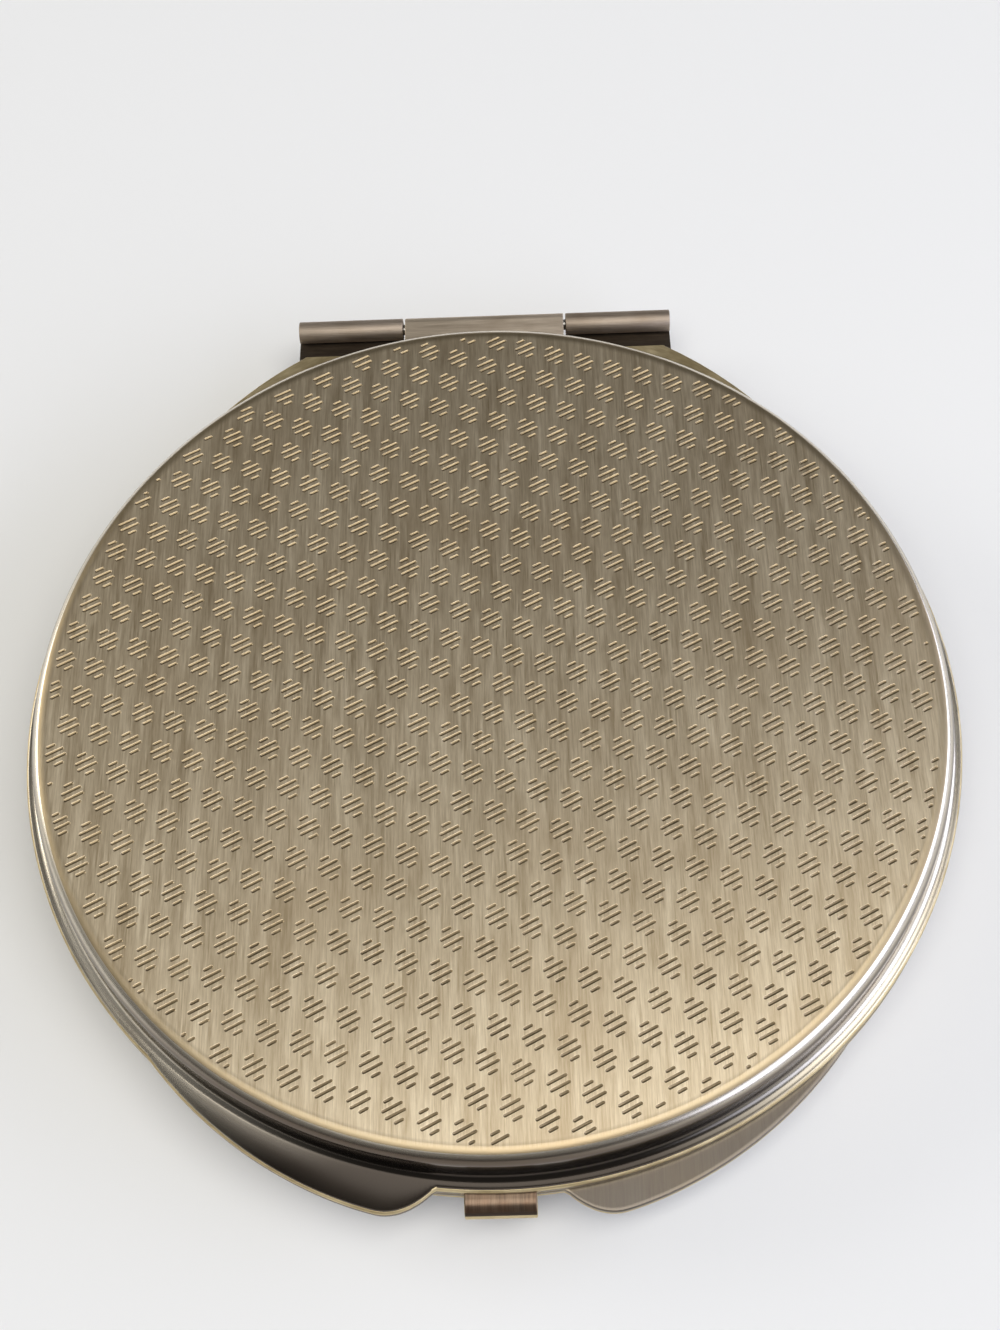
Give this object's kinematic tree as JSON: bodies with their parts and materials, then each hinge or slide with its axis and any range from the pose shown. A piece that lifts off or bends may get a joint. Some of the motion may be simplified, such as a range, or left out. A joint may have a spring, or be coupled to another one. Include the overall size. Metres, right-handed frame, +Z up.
{
  "type": "compact mirror",
  "caption": "Round hinged pocket compact: shallow antique-brass shells with inner frame plates, a flat lid mirror, a magnifying base mirror and a spring catch.",
  "frame": {"origin": "on the table, at the centre of the base's round outer face", "axes": "+Z up through both closed halves, +Y towards the hinge, -Y towards the catch, +X along the hinge pin"},
  "size_m": [0.07, 0.0746, 0.0093],
  "materials": {
    "antique_brass": "antiqued, brushed along Y",
    "frame_brass": "antiqued, fine brushed",
    "spring_brass": "polished, worn edges",
    "steel_wire": "drawn",
    "silvered_glass": "mirror",
    "foam_tape": "matte",
    "card": "matte"
  },
  "bodies": {
    "base": {"base_shell": "antique_brass", "base_spacer_ring": "card", "base_mirror_pad": "foam_tape", "base_mirror": "silvered_glass", "base_frame_plate": "frame_brass", "hinge_pin": "steel_wire"},
    "lid": {"lid_shell": "antique_brass", "lid_spacer_disc": "card", "lid_mirror_pad": "foam_tape", "lid_mirror": "silvered_glass", "lid_frame_plate": "frame_brass"},
    "catch": {"catch_spring": "spring_brass"}
  },
  "joints": [
    {"name": "lid_hinge", "type": "hinge", "parent": "base", "child": "lid", "pos_m": [0, 0.0373, 0.00465], "axis": [-1, 0, 0], "range_deg": [0, 180]},
    {"name": "catch_flex", "type": "hinge", "parent": "lid", "child": "catch", "pos_m": [0, -0.03268, 0.00868], "axis": [-1, 0, 0], "range_deg": [0, 3.4], "stiffness_Nm_per_rad": 0.67}
  ]
}
